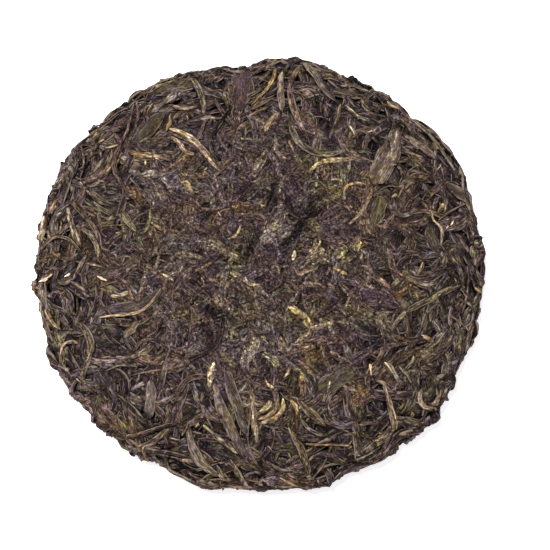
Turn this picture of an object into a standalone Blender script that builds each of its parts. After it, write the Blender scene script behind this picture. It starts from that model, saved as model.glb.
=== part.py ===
"""Raw pu-erh tea cake: rolled tea leaves steamed and pressed into one domed disc.

Metres, +Z up. The cake lies face up on its underside at z = 0, with the origin at the middle of its
base. It is one solid: a smooth pressed core, a little smaller than the cake, with the largest leaf
twists lying half sunk in its skin.
"""

import math
import random

import bmesh
import bpy
from mathutils import Matrix, Vector
from mathutils.bvhtree import BVHTree

MM = 0.001
SEED = 5

# The pressed core
CORE_RADIUS = 100.0 * MM
CROWN_HEIGHT = 25.4 * MM
RIM_HEIGHT = 8.5 * MM  # height of the widest line round the side
DOME_POWER = 2.5  # how long the face stays flat before it falls to the rim
DOME_ROUNDING = 0.53  # how upright the face meets the rim
FACE_DIP_DEPTH = 1.0 * MM  # the face sinks a little over the hollow below it
FACE_DIP_RADIUS = 30.0 * MM
FOOT_RADIUS = 85.0 * MM  # outer edge of the flat ring that the cake lies on
FOOT_RELIEF = 1.0 * MM  # the core stops this far above the surface, and the leaves reach it
HOLLOW_RADIUS = 29.0 * MM  # the dimple that the knot of the pressing cloth leaves
HOLLOW_DEPTH = 12.5 * MM
# The outline is a little out of round: waves round the cake, height of the wave, angle of a crest
OUTLINE_LOBES = (
    (2, 0.4 * MM, 64),
    (3, 0.5 * MM, 41),
    (4, 0.7 * MM, 51),
    (6, 0.6 * MM, 19),
    (9, 0.5 * MM, 38),
)
CORE_SECTORS = 48
FACE_RINGS = 11
TURN_RINGS = 3
FOOT_RINGS = 2
HOLLOW_RINGS = 4

# Leaf twists: how many, and the shortest and longest of each group
GOLDEN_ANGLE = math.pi * (3 - math.sqrt(5))
FACE_TWISTS = 58
RIM_TWISTS = 24
UNDERSIDE_TWISTS = 18
TWIST_LENGTH = (20 * MM, 36 * MM)
TWIST_HALF_WIDTH = (1.6 * MM, 2.9 * MM)
TWIST_HALF_THICKNESS = (0.9 * MM, 1.3 * MM)
TWIST_STEPS = 6  # lengths of the body between one tip and the other
TWIST_SIDES = 5
TIP_SHARE = 0.25  # width of a tip against the middle
TWIST_SINK = 0.30  # share of the half thickness by which a twist sinks in the core
MOST_BEND = math.radians(75)  # turn of a twist from tip to tip

TEA_COLOUR = (0.088, 0.063, 0.051, 1.0)
TEA_ROUGHNESS = 0.72


def clear_scene():
    for obj in list(bpy.data.objects):
        bpy.data.objects.remove(obj)


def tea_material():
    material = bpy.data.materials.new("pressed_tea")
    material.use_nodes = True
    shader = material.node_tree.nodes["Principled BSDF"]
    shader.inputs["Base Color"].default_value = TEA_COLOUR
    shader.inputs["Roughness"].default_value = TEA_ROUGHNESS
    shader.inputs["Metallic"].default_value = 0.0
    return material


def face_height(radius):
    """Height of the domed face at a distance from the axis."""
    share = min(radius / CORE_RADIUS, 1.0)
    dome = (1 - share**DOME_POWER) ** DOME_ROUNDING
    dip = FACE_DIP_DEPTH * math.exp(-((radius / FACE_DIP_RADIUS) ** 2))
    return RIM_HEIGHT + (CROWN_HEIGHT - RIM_HEIGHT) * dome - dip


def underside_height(radius):
    """Height of the underside: a rounded turn at the rim, a flat foot and the hollow."""
    if radius > FOOT_RADIUS:
        share = (radius - FOOT_RADIUS) / (CORE_RADIUS - FOOT_RADIUS)
        rise = 1 - math.sqrt(max(0.0, 1 - share * share))
        return FOOT_RELIEF + (RIM_HEIGHT - FOOT_RELIEF) * rise
    if radius < HOLLOW_RADIUS:
        return FOOT_RELIEF + HOLLOW_DEPTH * (0.5 + 0.5 * math.cos(math.pi * radius / HOLLOW_RADIUS))
    return FOOT_RELIEF


def core_stations():
    """Radius and height of each ring, from the middle of the face round to the hollow."""
    stations = []
    for ring in range(1, FACE_RINGS + 1):
        radius = CORE_RADIUS * math.sin(math.pi / 2 * ring / FACE_RINGS)
        stations.append((radius, face_height(radius)))
    for ring in range(1, TURN_RINGS + 1):
        share = math.cos(math.pi / 2 * ring / TURN_RINGS)
        radius = FOOT_RADIUS + (CORE_RADIUS - FOOT_RADIUS) * share
        stations.append((radius, underside_height(radius)))
    for ring in range(1, FOOT_RINGS + 1):
        radius = FOOT_RADIUS + (HOLLOW_RADIUS - FOOT_RADIUS) * ring / FOOT_RINGS
        stations.append((radius, underside_height(radius)))
    for ring in range(1, HOLLOW_RINGS):
        radius = HOLLOW_RADIUS * (1 - ring / HOLLOW_RINGS)
        stations.append((radius, underside_height(radius)))
    return stations


def outline_offset(angle):
    """How far the cake's edge stands out of a true circle at an angle."""
    return sum(
        height * math.cos(waves * (angle - math.radians(crest)))
        for waves, height, crest in OUTLINE_LOBES
    )


def core_object():
    """The closed pressed core, ring by ring, with a fan of triangles at each pole."""
    bm = bmesh.new()
    rings = []
    for radius, height in core_stations():
        ring = []
        for sector in range(CORE_SECTORS):
            angle = math.tau * sector / CORE_SECTORS
            reach = radius + outline_offset(angle) * (radius / CORE_RADIUS) ** 2
            ring.append(bm.verts.new((reach * math.cos(angle), reach * math.sin(angle), height)))
        rings.append(ring)
    top = bm.verts.new((0, 0, face_height(0)))
    bottom = bm.verts.new((0, 0, underside_height(0)))
    for sector in range(CORE_SECTORS):
        after = (sector + 1) % CORE_SECTORS
        bm.faces.new((top, rings[0][sector], rings[0][after]))
        bm.faces.new((bottom, rings[-1][after], rings[-1][sector]))
        for upper, lower in zip(rings, rings[1:]):
            bm.faces.new((upper[sector], lower[sector], lower[after], upper[after]))
    bmesh.ops.recalc_face_normals(bm, faces=bm.faces)
    mesh = bpy.data.meshes.new("tea_cake")
    bm.to_mesh(mesh)
    bm.free()
    core = bpy.data.objects.new("tea_cake", mesh)
    bpy.context.scene.collection.objects.link(core)
    return core


def skin_of(obj):
    """A search tree of the object's surface, for laying leaves on it."""
    bm = bmesh.new()
    bm.from_mesh(obj.data)
    tree = BVHTree.FromBMesh(bm)
    bm.free()
    return tree


def walk(skin, anchor, heading, step, turn, count):
    """Points and normals met by walking over the skin, turning a little at each step."""
    place, normal, _, _ = skin.find_nearest(anchor)
    met = []
    for _ in range(count):
        heading = Matrix.Rotation(turn, 3, normal) @ heading
        place, normal, _, _ = skin.find_nearest(place + heading * step)
        heading = (heading - normal * heading.dot(normal)).normalized()
        met.append((place, normal))
    return met


def twist_spine(skin, anchor, heading, length, bend):
    """A leaf's middle line: half of it walked each way from its anchor."""
    place, normal, _, _ = skin.find_nearest(anchor)
    heading = (heading - normal * heading.dot(normal)).normalized()
    half = TWIST_STEPS // 2
    step = length / TWIST_STEPS
    turn = bend / TWIST_STEPS
    ahead = walk(skin, place, heading, step, turn, half)
    behind = walk(skin, place, -heading, step, -turn, half)
    return [*reversed(behind), (place, normal), *ahead]


def twist_object(name, spine, half_width, half_thickness, roll):
    """One rolled leaf: a flattened tube along its spine, narrow at both tips."""
    bm = bmesh.new()
    rings = []
    last = len(spine) - 1
    for station, (place, normal) in enumerate(spine):
        before = spine[max(station - 1, 0)][0]
        after = spine[min(station + 1, last)][0]
        along = (after - before).normalized()
        across = normal.cross(along).normalized()
        up = along.cross(across)
        out = abs(2 * station / last - 1)
        swell = TIP_SHARE + (1 - TIP_SHARE) * math.sqrt(1 - out**2)
        centre = place + up * half_thickness * (swell - TWIST_SINK - (1 - TIP_SHARE) / 2)
        turned = roll * (2 * station / last - 1)
        ring = []
        for side in range(TWIST_SIDES):
            angle = math.tau * (side + 0.25) / TWIST_SIDES
            wide = half_width * swell * math.cos(angle)
            high = half_thickness * swell * math.sin(angle)
            sideways = wide * math.cos(turned) - high * math.sin(turned)
            upwards = wide * math.sin(turned) + high * math.cos(turned)
            ring.append(bm.verts.new(centre + across * sideways + up * upwards))
        rings.append(ring)
    for ring, following in zip(rings, rings[1:]):
        for side in range(TWIST_SIDES):
            beside = (side + 1) % TWIST_SIDES
            bm.faces.new((ring[side], ring[beside], following[beside], following[side]))
    bm.faces.new(reversed(rings[0]))
    bm.faces.new(rings[-1])
    bmesh.ops.recalc_face_normals(bm, faces=bm.faces)
    mesh = bpy.data.meshes.new(name)
    bm.to_mesh(mesh)
    bm.free()
    return bpy.data.objects.new(name, mesh)


def anchors():
    """Where the twists lie and which way they point, spread evenly over each part of the skin."""
    found = []
    for index in range(FACE_TWISTS):
        radius = CORE_RADIUS * 0.93 * math.sqrt((index + 0.5) / FACE_TWISTS)
        found.append((radius, face_height(radius), index * GOLDEN_ANGLE))
    for index in range(RIM_TWISTS):
        high = index % 2
        height = RIM_HEIGHT + (3.0 * MM if high else -2.5 * MM)
        found.append((CORE_RADIUS * 0.995, height, math.tau * index / RIM_TWISTS))
    for index in range(UNDERSIDE_TWISTS):
        radius = CORE_RADIUS * 0.90 * math.sqrt((index + 0.5) / UNDERSIDE_TWISTS)
        found.append((radius, underside_height(radius), index * GOLDEN_ANGLE))
    return found


def tangential_share(radius):
    """Leaves near the rim tend to lie round it, and those in the middle lie any way."""
    return max(0.0, (radius / CORE_RADIUS - 0.55) / 0.45)


def laid_twists(core):
    """The collection of leaf twists that the Boolean fuses to the core."""
    draw = random.Random(SEED)
    skin = skin_of(core)
    twists = bpy.data.collections.new("leaf_twists")
    bpy.context.scene.collection.children.link(twists)
    for index, (radius, height, angle) in enumerate(anchors()):
        anchor = Vector((radius * math.cos(angle), radius * math.sin(angle), height))
        spread = math.pi / 2 * (1 - 0.85 * tangential_share(radius))
        direction = angle + math.pi / 2 + draw.uniform(-spread, spread)
        heading = Vector((math.cos(direction), math.sin(direction), 0))
        length = draw.uniform(*TWIST_LENGTH)
        bend = draw.uniform(-MOST_BEND, MOST_BEND)
        spine = twist_spine(skin, anchor, heading, length, bend)
        half_width = draw.uniform(*TWIST_HALF_WIDTH)
        half_thickness = draw.uniform(*TWIST_HALF_THICKNESS)
        roll = draw.uniform(-0.5, 0.5)
        name = f"leaf_twist_{index:03d}"
        twists.objects.link(twist_object(name, spine, half_width, half_thickness, roll))
    return twists


def apply_boolean(target, operation, solver="EXACT", collection=None, cutter=None):
    """Joins or cuts the target for good, by a collection or by one object."""
    modifier = target.modifiers.new(operation.lower(), "BOOLEAN")
    modifier.operation = operation
    modifier.solver = solver
    if collection is not None:
        modifier.operand_type = "COLLECTION"
        modifier.collection = collection
    else:
        modifier.object = cutter
    bpy.context.view_layer.objects.active = target
    bpy.ops.object.modifier_apply(modifier=modifier.name)


def remove_collection(collection):
    for obj in list(collection.objects):
        bpy.data.objects.remove(obj)
    bpy.data.collections.remove(collection)


def resting_cutter():
    """A slab with its top at z = 0, which presses the underside's leaves flat."""
    bpy.ops.mesh.primitive_cube_add(size=1)
    slab = bpy.context.object
    slab.name = "resting_cutter"
    slab.dimensions = (0.3, 0.3, 0.02)
    slab.location = (0, 0, -0.01)
    bpy.ops.object.transform_apply(location=True, rotation=False, scale=True)
    return slab


def drop_scraps(obj):
    """Keeps only the largest connected body."""
    bm = bmesh.new()
    bm.from_mesh(obj.data)
    loose = set(bm.verts)
    bodies = []
    while loose:
        todo = [loose.pop()]
        body = set(todo)
        while todo:
            for edge in todo.pop().link_edges:
                for vert in edge.verts:
                    if vert in loose:
                        loose.discard(vert)
                        body.add(vert)
                        todo.append(vert)
        bodies.append(body)
    bodies.sort(key=len)
    for body in bodies[:-1]:
        bmesh.ops.delete(bm, geom=list(body), context="VERTS")
    bm.to_mesh(obj.data)
    bm.free()


def centre_on_base(obj):
    """Moves the mesh so that the origin is at the middle of its base."""
    lowest = [min(v.co[i] for v in obj.data.vertices) for i in range(3)]
    highest = [max(v.co[i] for v in obj.data.vertices) for i in range(3)]
    middle = Vector(((lowest[0] + highest[0]) / 2, (lowest[1] + highest[1]) / 2, lowest[2]))
    obj.data.transform(Matrix.Translation(-middle))


def finish_surface(obj):
    obj.data.materials.clear()
    obj.data.materials.append(tea_material())
    obj.data.shade_smooth()
    obj.data.set_sharp_from_angle(angle=math.radians(35))


def main():
    clear_scene()
    cake = core_object()
    twists = laid_twists(cake)
    apply_boolean(cake, "UNION", collection=twists)
    remove_collection(twists)
    slab = resting_cutter()
    apply_boolean(cake, "DIFFERENCE", cutter=slab)
    bpy.data.objects.remove(slab)
    drop_scraps(cake)
    centre_on_base(cake)
    finish_surface(cake)


main()
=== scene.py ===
import math

import bpy
import numpy as np
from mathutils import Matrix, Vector


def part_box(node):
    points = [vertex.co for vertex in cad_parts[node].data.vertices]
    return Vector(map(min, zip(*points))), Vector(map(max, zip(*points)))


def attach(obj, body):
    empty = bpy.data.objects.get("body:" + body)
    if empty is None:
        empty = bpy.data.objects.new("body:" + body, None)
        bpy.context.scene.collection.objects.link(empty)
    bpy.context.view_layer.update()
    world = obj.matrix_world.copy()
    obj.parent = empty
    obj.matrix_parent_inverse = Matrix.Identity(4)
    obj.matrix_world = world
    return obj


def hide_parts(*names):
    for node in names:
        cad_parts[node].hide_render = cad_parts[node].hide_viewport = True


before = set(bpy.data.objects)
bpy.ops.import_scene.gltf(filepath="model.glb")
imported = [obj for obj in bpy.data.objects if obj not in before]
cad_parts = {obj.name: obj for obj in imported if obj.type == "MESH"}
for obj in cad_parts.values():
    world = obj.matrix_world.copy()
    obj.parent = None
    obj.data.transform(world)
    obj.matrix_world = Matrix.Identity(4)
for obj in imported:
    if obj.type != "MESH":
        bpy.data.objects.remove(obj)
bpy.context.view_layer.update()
nodeLow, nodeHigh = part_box("tea_cake")
draw = np.random.default_rng(357)
metre = 0.001  # everything below is worked out in millimetres

# The cake's form, as the CAD solid has it
cakeForm = {
    "radius": 1000 * (nodeHigh.x - nodeLow.x + nodeHigh.y - nodeLow.y) / 4,
    "crownHeight": 1000 * nodeHigh.z - 0.8,  # the leaves stand over it
    "rimHeight": 8.5,  # the widest line round the side
    "domePower": 2.5,
    "domeRounding": 0.53,
    "faceDip": 1.0,
    "faceDipRadius": 30.0,
    "footRadius": 85.0,
    "footRelief": 1.0,
    "hollowRadius": 29.0,  # the dimple in the underside
    "hollowDepth": 12.5,
    "lobes": ((2, 0.4, 64), (3, 0.5, 41), (4, 0.7, 51), (6, 0.6, 19), (9, 0.5, 38)),
    "floorGap": 0.05,  # no point lies lower than this
}

# Small dents and swellings of the edge: where round the cake and how wide in degrees, and millimetres
edgeSwells = (
    (10, 8, -1.0), (46, 9, -1.8), (63, 9, -2.1), (95, 10, -3.1), (139, 11, -1.8), (160, 6, -1.2),
    (181, 5, 0.1), (197, 8, -2.2), (220, 6, -1.0), (246, 7, -2.4), (270, 6, -1.3), (284, 7, 2.0),
    (301, 6, 1.6), (316, 6, 0.6), (329, 6, -2.2), (341, 5, 1.0), (352, 6, -1.2),
)


def faceHeight(r):
    share = np.minimum(r / cakeForm["radius"], 1.0)
    dome = (1 - share ** cakeForm["domePower"]) ** cakeForm["domeRounding"]
    dip = cakeForm["faceDip"] * np.exp(-((r / cakeForm["faceDipRadius"]) ** 2))
    return cakeForm["rimHeight"] + (cakeForm["crownHeight"] - cakeForm["rimHeight"]) * dome - dip


def undersideHeight(r):
    foot, relief, hollow = cakeForm["footRadius"], cakeForm["footRelief"], cakeForm["hollowRadius"]
    share = np.clip((r - foot) / (cakeForm["radius"] - foot), 0, 1)
    turn = (cakeForm["rimHeight"] - relief) * (1 - np.sqrt(1 - share**2))
    bell = cakeForm["hollowDepth"] * (0.5 + 0.5 * np.cos(np.pi * np.minimum(r / hollow, 1)))
    return relief + turn + bell


def meridian(steps=500):  # the section of the skin from the crown over the rim to the top of the hollow
    quarter = np.linspace(0, np.pi / 2, steps)
    face = cakeForm["radius"] * np.sin(quarter)
    turn = cakeForm["footRadius"] + (cakeForm["radius"] - cakeForm["footRadius"]) * np.cos(quarter[1:])
    foot = np.linspace(cakeForm["footRadius"], 0, steps)[1:]
    under = np.concatenate([turn, foot])
    r = np.concatenate([face, under])
    z = np.concatenate([faceHeight(face), undersideHeight(under)])
    s = np.concatenate([[0], np.cumsum(np.hypot(np.diff(r), np.diff(z)))])
    dr, dz = np.gradient(r, s), np.gradient(z, s)
    size = np.hypot(dr, dz)
    return {"s": s, "r": r, "z": z, "outR": -dz / size, "outZ": dr / size, "rimS": s[len(face) - 1]}


skin = meridian()
skinLength = skin["s"][-1]


def outlineShare(angle):  # how far the edge stands out of a true circle
    stand = sum(high * np.cos(n * (angle - math.radians(crest))) for n, high, crest in cakeForm["lobes"])
    for place, wide, high in edgeSwells:
        off = np.mod(np.degrees(angle) - place + 180, 360) - 180
        stand = stand + high * np.exp(-((off / wide) ** 2))
    return stand / cakeForm["radius"]


# Leaves are laid on two flat maps of the skin, one round the crown and one round the hollow.
# A map's point is as far from its middle as the skin is long between them. Both reach past the rim.
maps = {
    "face": {"reach": skin["rimS"] + 15, "cell": 0.5, "half": 128},
    "base": {"reach": skinLength - skin["rimS"] + 12, "cell": 0.5, "half": 128},
}
for chart in maps.values():
    chart["count"] = int(2 * chart["half"] / chart["cell"])
    chart["pile"] = np.zeros((chart["count"], chart["count"]))
seam = 4  # how far past its reach a map is still raised


def mapAxis(chart):  # the middles of a map's cells
    return (np.arange(chart["count"]) + 0.5) * chart["cell"] - chart["half"]


def alongSkin(side, x, y):  # map point to arc length from the crown, and angle round the cake
    away, angle = np.hypot(x, y), np.arctan2(y, x)
    return (away, angle) if side == "face" else (skinLength - away, -angle)


def ontoMap(side, s, angle):
    away, turned = (s, angle) if side == "face" else (skinLength - s, -angle)
    return away * np.cos(turned), away * np.sin(turned)


def inSpace(side, x, y, high):  # map point and height over the skin to millimetres in the row frame
    s, angle = alongSkin(side, x, y)
    r = np.interp(s, skin["s"], skin["r"])
    z = np.interp(s, skin["s"], skin["z"])
    outR = np.interp(s, skin["s"], skin["outR"])
    outZ = np.interp(s, skin["s"], skin["outZ"])
    r = r * (1 + outlineShare(angle) * (r / cakeForm["radius"])) + outR * high
    z = np.maximum(z + outZ * high, cakeForm["floorGap"])
    return np.stack([r * np.cos(angle), r * np.sin(angle), z], axis=-1)


def cellsOf(side, x, y):
    chart = maps[side]
    column = np.clip((x + chart["half"]) / chart["cell"], 0, chart["count"] - 2)
    row = np.clip((y + chart["half"]) / chart["cell"], 0, chart["count"] - 2)
    return column, row


def readMap(name, side, x, y):  # smooth reading between four cells
    field = maps[side][name]
    column, row = cellsOf(side, x, y)
    c, r = column.astype(int), row.astype(int)
    fc, fr = column - c, row - r
    near = field[r, c] * (1 - fc) + field[r, c + 1] * fc
    far = field[r + 1, c] * (1 - fc) + field[r + 1, c + 1] * fc
    return near * (1 - fr) + far * fr


def pressInto(side, x, y, high):  # raises the pile to a leaf's top, on both maps where they meet
    column, row = cellsOf(side, x, y)
    np.maximum.at(maps[side]["pile"], (row.astype(int), column.astype(int)), high)
    s, angle = alongSkin(side, x, y)
    other = "base" if side == "face" else "face"
    away = skinLength - s if other == "base" else s
    shared = away < maps[other]["reach"] + seam
    if shared.any():
        ox, oy = ontoMap(other, s[shared], angle[shared])
        column, row = cellsOf(other, ox, oy)
        np.maximum.at(maps[other]["pile"], (row.astype(int), column.astype(int)), high[shared])


# The camera, at the photograph's angle
photoCamera = {
    "lens": 85.0,
    "sensor": 36.0,
    "elevation": 72.0,
    "distance": 570.0,
    "aim": (6.8, -6.4, 11.0),
    "photoSide": 550,
    "clipStart": 0.01,  # in metres
}
tilt = math.radians(photoCamera["elevation"])
cameraBack = (0, -math.cos(tilt), math.sin(tilt))
cameraUp = (0, math.sin(tilt), math.cos(tilt))


def makeCamera():
    back = Vector(cameraBack)
    data = bpy.data.cameras.new("photo_camera")
    data.lens = photoCamera["lens"]
    data.sensor_width = photoCamera["sensor"]
    data.clip_start = photoCamera["clipStart"]
    camera = bpy.data.objects.new("photo_camera", data)
    bpy.context.scene.collection.objects.link(camera)
    camera.location = (Vector(photoCamera["aim"]) + back * photoCamera["distance"]) * metre
    camera.rotation_mode = "QUATERNION"
    camera.rotation_quaternion = (-back).to_track_quat("-Z", "Y")
    bpy.context.scene.camera = camera


def photoToMap(px, py):  # where a pixel of the photograph meets the face, as a point of the face map
    back, up, right = np.array(cameraBack), np.array(cameraUp), np.array([1.0, 0, 0])
    eye = np.array(photoCamera["aim"]) + back * photoCamera["distance"]
    half = photoCamera["photoSide"] / 2
    focal = photoCamera["photoSide"] * photoCamera["lens"] / photoCamera["sensor"]
    ray = -back + right * ((px - half) / focal)[:, None] + up * ((half - py) / focal)[:, None]
    z = np.full(len(px), cakeForm["crownHeight"])
    for _ in range(30):  # closes in on the height of the face there
        spot = eye + ray * ((z - eye[2]) / ray[:, 2])[:, None]
        angle = np.arctan2(spot[:, 1], spot[:, 0])
        r = np.hypot(spot[:, 0], spot[:, 1])
        r = r / (1 + outlineShare(angle) * np.minimum(r / cakeForm["radius"], 1))
        z = 0.5 * z + 0.5 * faceHeight(np.minimum(r, cakeForm["radius"]))
    faceR = skin["s"] <= skin["rimS"]
    s = np.interp(r, skin["r"][faceR], skin["s"][faceR])
    return ontoMap("face", s, angle)


makeCamera()
print("camera made")


# Leaf colours, as they look in the photograph, 0 to 255
tints = {
    "soot": (44, 31, 26),
    "umber": (68, 51, 44),
    "plum": (74, 59, 56),
    "bark": (90, 72, 62),
    "slate": (85, 75, 70),
    "ash": (112, 99, 90),
    "moss": (76, 68, 52),
    "olive": (100, 89, 69),
    "sage": (119, 110, 90),
    "fawn": (138, 120, 104),
    "tan": (158, 138, 116),
    "gold": (152, 129, 94),
    "rose": (140, 117, 103),
    "amber": (93, 72, 55),
    "cream": (208, 189, 162),
}
tintGain = np.array([0.82, 0.757, 0.778])  # from the colour that is seen to the leaf's own

# Millimetres from the crown, and the share of light there
shadeByPlace = ((0, 50, 68, 84, 98), (0.67, 0.96, 1.0, 0.91, 1.13))


def linear(rgb):
    share = np.array(rgb) / 255
    return np.where(share <= 0.04045, share / 12.92, ((share + 0.055) / 1.055) ** 2.4)


# What each kind of leaf is like: sizes in millimetres, angles in radians, shares of the half width
leafKinds = {
    "twist": {
        "piece": "dark_twists", "grid": "leaf",
        "length": (14, 36), "halfWidth": (1.2, 2.5), "thick": (1.0, 1.7),
        "bend": 2.0, "sway": 0.50, "tips": (0.08, 0.45), "creases": (0.6, 1.5), "creaseDepth": 0.50,
        "twist": 1.8, "wobble": 0.13, "tints": ("umber", "plum", "bark", "soot", "slate"),
    },
    "brown": {
        "piece": "brown_leaves", "grid": "leaf",
        "length": (16, 40), "halfWidth": (1.6, 3.4), "thick": (0.9, 1.5),
        "bend": 1.8, "sway": 0.45, "tips": (0.06, 0.40), "creases": (0.6, 1.6), "creaseDepth": 0.55,
        "twist": 1.1, "wobble": 0.16, "tints": ("bark", "ash", "slate", "plum", "bark"),
    },
    "olive": {
        "piece": "olive_leaves", "grid": "leaf",
        "length": (14, 34), "halfWidth": (1.5, 3.4), "thick": (0.8, 1.4),
        "bend": 1.8, "sway": 0.45, "tips": (0.06, 0.40), "creases": (0.6, 1.6), "creaseDepth": 0.52,
        "twist": 0.9, "wobble": 0.16, "tints": ("moss", "olive", "moss", "bark"),
    },
    "blade": {
        "piece": "broad_blades", "grid": "leaf",
        "length": (15, 34), "halfWidth": (3.2, 6.2), "thick": (0.6, 1.0),
        "bend": 0.6, "sway": 0.20, "tips": (0.05, 0.35), "creases": (0.8, 1.8), "creaseDepth": 0.55,
        "twist": 0.5, "wobble": 0.20, "tints": ("umber", "bark", "plum", "moss", "slate"),
    },
    "bud": {
        "piece": "pale_buds", "grid": "leaf",
        "length": (8, 20), "halfWidth": (0.8, 1.6), "thick": (0.6, 1.0),
        "bend": 1.2, "sway": 0.30, "tips": (0.06, 0.5), "creases": (0.8, 1.6), "creaseDepth": 0.35,
        "twist": 0.8, "wobble": 0.18, "tints": ("fawn", "tan", "ash", "rose", "sage", "gold", "ash"),
        "light": 0.72,  # those that aren't laid from the list are darker
    },
    "stem": {
        "piece": "stems", "grid": "leaf",
        "length": (9, 26), "halfWidth": (0.5, 0.95), "thick": (0.7, 1.0),
        "bend": 0.7, "sway": 0.20, "tips": (0.5, 0.9), "creases": (0.6, 1.0), "creaseDepth": 0.15,
        "twist": 0.3, "wobble": 0.10, "tints": ("fawn", "bark", "olive", "ash", "rose"),
    },
    "shred": {
        "piece": "shreds", "grid": "shred",
        "length": (1.8, 6.5), "halfWidth": (0.35, 1.1), "thick": (0.3, 0.6),
        "bend": 1.2, "sway": 0.30, "tips": (0.3, 0.9), "creases": (0.5, 1.0), "creaseDepth": 0.2,
        "twist": 0.4, "wobble": 0.30,
        "tints": ("umber", "bark", "moss", "ash", "fawn", "soot", "olive", "plum", "slate", "umber"),
    },
}


def gridOf(stations, across, fine, fineWide):  # where a leaf's points lie, and weights to read between them
    return {
        "u": np.linspace(-1, 1, stations),
        "v": np.sin(np.linspace(-np.pi / 2, np.pi / 2, across)),
        "fineAlong": stretched(stations, fine),
        "fineAcross": [stretched(across, count).T for count in fineWide],
    }


def stretched(count, fine):
    places = np.linspace(0, count - 1, fine)
    low = np.minimum(places.astype(int), count - 2)
    weights = np.zeros((fine, count))
    weights[np.arange(fine), low] = 1 - (places - low)
    weights[np.arange(fine), low + 1] = places - low
    return weights


grids = {"leaf": gridOf(15, 9, 90, (17, 33)), "shred": gridOf(5, 3, 16, (6, 6))}


def between(pair):
    return draw.uniform(*pair)


# How far a single leaf may differ from its kind
leafChance = {
    "bend": 0.6,
    "creaseDepth": (0.6, 1.3),
    "light": (0.82, 1.2),
    "tuck": (0.3, 1.1),  # how far its ends dip into the pile, in thicknesses
    "phase": (0, 6.3),
    "seed": (0, 50),
}


def newLeaf(kindName, side, x, y, heading, scale=1.0):
    kind = leafKinds[kindName]
    first, second = draw.choice(len(kind["tints"]), 2)
    mix = draw.uniform()
    tint = linear(tints[kind["tints"][first]]) * mix + linear(tints[kind["tints"][second]]) * (1 - mix)
    return {
        "kind": kindName, "side": side, "x": x, "y": y, "heading": heading,
        "length": between(kind["length"]) * scale, "halfWidth": between(kind["halfWidth"]) * scale,
        "thick": between(kind["thick"]), "bend": draw.normal() * kind["bend"] * leafChance["bend"],
        "sway": draw.normal() * kind["sway"], "swayPhase": between(leafChance["phase"]),
        "tips": draw.permutation([between(kind["tips"]), kind["tips"][0]]),
        "creases": between(kind["creases"]),
        "creaseDepth": kind["creaseDepth"] * between(leafChance["creaseDepth"]),
        "twist": draw.normal() * kind["twist"], "phase": between(leafChance["phase"]),
        "wobble": kind["wobble"], "wobblePhases": draw.uniform(*leafChance["phase"], 6),
        "tint": tint * between(leafChance["light"]), "tuck": between(leafChance["tuck"]),
        "seed": between(leafChance["seed"]), "run": None, "crushed": None, "grid": grids[kind["grid"]],
    }


def chanceOf(leaf, pace):  # a number from 0 to 1 that stays the leaf's own
    return leaf["seed"] * pace % 1


def leafRun(leaf):  # the leaf's middle line on its map, with the direction at each station
    u = leaf["grid"]["u"]
    if leaf["run"] is not None:
        line = leaf["run"]
        along = np.gradient(line, axis=0)
        return line, along / np.maximum(np.hypot(*along.T), 1e-6)[:, None]
    sway = leaf["sway"] * np.sin(leafForm["swayPace"] * u + leaf["swayPhase"])
    turn = leaf["heading"] + leaf["bend"] * u / 2 + sway
    along = np.stack([np.cos(turn), np.sin(turn)], axis=1)
    step = leaf["length"] / (len(u) - 1)
    line = np.cumsum(along * step, axis=0)
    line += np.array([leaf["x"], leaf["y"]]) - line[len(u) // 2]
    return line, along


# The form that all leaves share, over their length from -1 to 1 and over their width
leafForm = {
    "swayPace": 2.4,
    "tipPower": 2.4,  # how long a leaf keeps its width
    "archPower": 2.4,
    "archRounding": 0.6,
    "ridge": 0.97,  # at 1 the creases would be knife edges
    "ridgeSpan": 1.33,
    "tipThickness": 0.35,
    "tipThinning": 3,
    "leftWaves": (3.1, 7.3),
    "rightWaves": (2.7, 6.7),
    "fineWave": 0.6,
    "lumps": ((0.12, 5.2), (0.08, 11.0)),
    "tuckPower": 4,
    "beneath": (1.3, 0.1),  # how deep the point beneath lies: shares of the thickness, and millimetres
    "beneathAcross": 1.6,  # and where it is in the grain, in half widths
    "beneathEdge": 1.0,
}


def waves(u, paces, first, second):
    return np.sin(paces[0] * u + first) + leafForm["fineWave"] * np.sin(paces[1] * u + second)


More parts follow.
